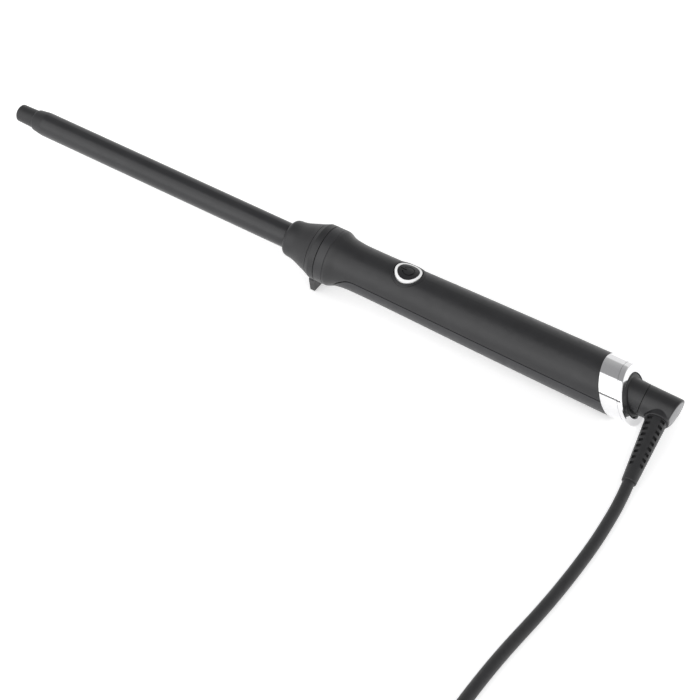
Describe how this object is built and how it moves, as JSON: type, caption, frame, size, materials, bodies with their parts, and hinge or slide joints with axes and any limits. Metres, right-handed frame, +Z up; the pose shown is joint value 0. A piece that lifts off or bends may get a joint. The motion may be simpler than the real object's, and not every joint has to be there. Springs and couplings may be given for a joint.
{
  "type": "curling wand",
  "caption": "Slim round-barrel hair curling wand with a flared collar and stand foot, a waisted handle with a power button, a slanted chrome end ring and a swivel mains cord.",
  "frame": {"origin": "on the table, under the middle of the wand's bounding box (the cord and what is on it left out)", "axes": "+X along the wand from the tip to the cord swivel, +Z up, -Y towards the side that the cord leaves; the wand's own axis leans 3.4 degrees about Y, tip up, because it lies on its stand foot and its chrome end ring"},
  "size_m": [0.4057, 0.3531, 0.0434],
  "materials": {
    "black_plastic": "satin, heat-resistant",
    "barrel_coating": "satin ceramic coating",
    "trim_plastic": "satin",
    "handle_plastic": "soft satin",
    "panel_plastic": "soft satin",
    "light_guide": "clear gloss white",
    "button_plastic": "fine satin",
    "inner_plastic": "matt",
    "board": "green solder mask",
    "capacitor": "gloss",
    "fuse_glass": "clear gloss",
    "steel": "zinc plated",
    "insulator": "matt",
    "ceramic": "fired matt",
    "aluminium": "as extruded",
    "wire_red": "silicone",
    "wire_blue": "silicone",
    "brass": "plated",
    "chrome": "polished",
    "elbow_plastic": "satin",
    "grey_disc": "satin metallic",
    "boot_rubber": "satin",
    "cord_rubber": "satin",
    "tie_rubber": "matt",
    "plug_plastic": "satin",
    "nickel": "nickel plated"
  },
  "bodies": {
    "handle": {"cool_tip": "black_plastic", "barrel": "barrel_coating", "nose_collar": "black_plastic", "stand_ring": "black_plastic", "trim_band": "trim_plastic", "handle_upper_shell": "handle_plastic", "handle_lower_panel": "panel_plastic", "button_light_ring": "light_guide", "tact_switch": "inner_plastic", "status_leds": "light_guide", "circuit_board": "board", "control_chip": "inner_plastic", "triac": "inner_plastic", "filter_capacitor": "capacitor", "line_fuse": "fuse_glass", "board_cradle": "inner_plastic", "board_screws": "steel", "insulator_screws": "steel", "barrel_insulator": "insulator", "heater_core": "ceramic", "heat_spreader_upper": "aluminium", "heat_spreader_lower": "aluminium", "thermistor": "ceramic", "heater_leads": "wire_red", "supply_leads": "wire_blue", "brush_block": "inner_plastic", "brush_contacts": "brass", "swivel_neck": "black_plastic", "end_ring_band": "chrome", "end_ring_bezel": "chrome"},
    "button": {"power_button": "button_plastic", "switch_plunger": "inner_plastic"},
    "swivel": {"swivel_elbow": "elbow_plastic", "swivel_end_disc": "grey_disc", "swivel_stem": "inner_plastic", "slip_rings": "brass", "retaining_clip": "steel", "cord_strain_relief": "boot_rubber", "power_cord": "cord_rubber", "cord_coil": "cord_rubber", "cord_tie": "tie_rubber", "plug_strain_relief": "boot_rubber", "plug_body": "plug_plastic", "plug_pins": "nickel", "plug_pin_sleeves": "plug_plastic"}
  },
  "joints": [
    {"name": "button_press", "type": "slide", "parent": "handle", "child": "button", "axis": [-0.0593, 0, -0.9982], "range_m": [0, 0.0008], "stiffness_N_per_m": 1500, "springref_m": -0.0004},
    {"name": "cord_swivel", "type": "hinge", "parent": "handle", "child": "swivel", "pos_m": [0.18711, 0, 0.01447], "axis": [0.9982, 0, -0.0593], "continuous": true}
  ]
}
